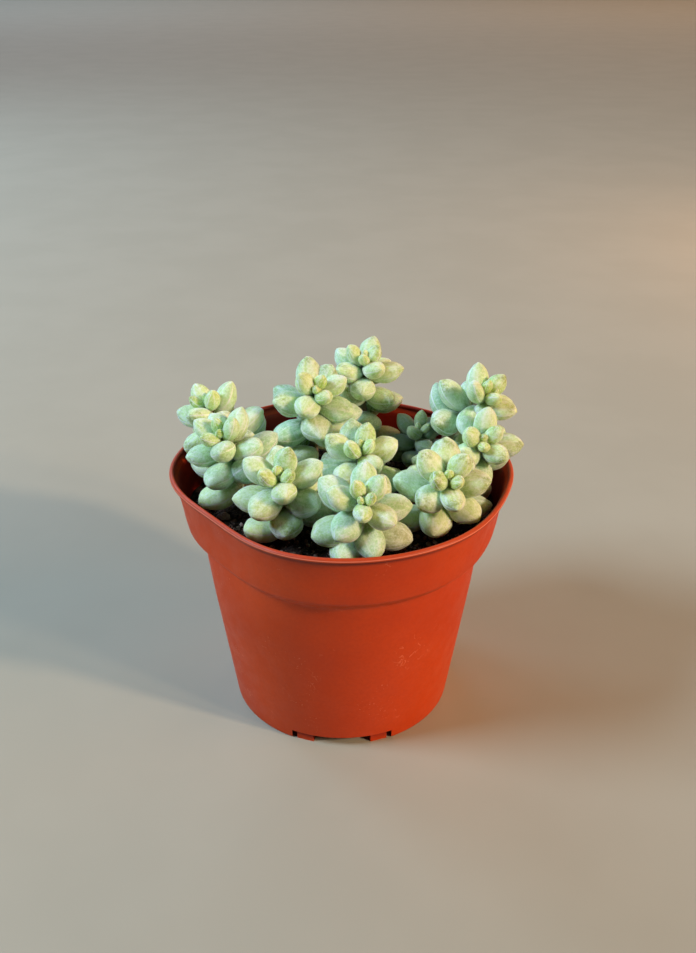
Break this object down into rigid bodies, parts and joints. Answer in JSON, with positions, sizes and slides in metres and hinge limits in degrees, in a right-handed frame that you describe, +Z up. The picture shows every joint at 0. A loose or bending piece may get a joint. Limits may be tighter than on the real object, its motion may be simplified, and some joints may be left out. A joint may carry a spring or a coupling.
{
  "type": "potted burro's tail plant",
  "caption": "Young burro's tail succulent with plump leaves in rosettes, in a small round plastic nursery pot with soil.",
  "frame": {"origin": "on the ground under the middle of the pot", "axes": "+Z up, -Y towards the viewer of the picture, +X to the viewer's right"},
  "size_m": [0.0931, 0.091, 0.092],
  "materials": {
    "pot_plastic": "matte moulded",
    "soil": "crumbly, dark and dry",
    "leaf": "fleshy leaf with a waxy bloom"
  },
  "bodies": {
    "root": {"pot": "pot_plastic", "soil": "soil", "shoot_a": "leaf", "shoot_b": "leaf", "shoot_c": "leaf", "shoot_d": "leaf", "shoot_e": "leaf", "shoot_f": "leaf", "shoot_g": "leaf", "shoot_h": "leaf", "shoot_i": "leaf", "shoot_j": "leaf", "shoot_k": "leaf"}
  },
  "joints": []
}
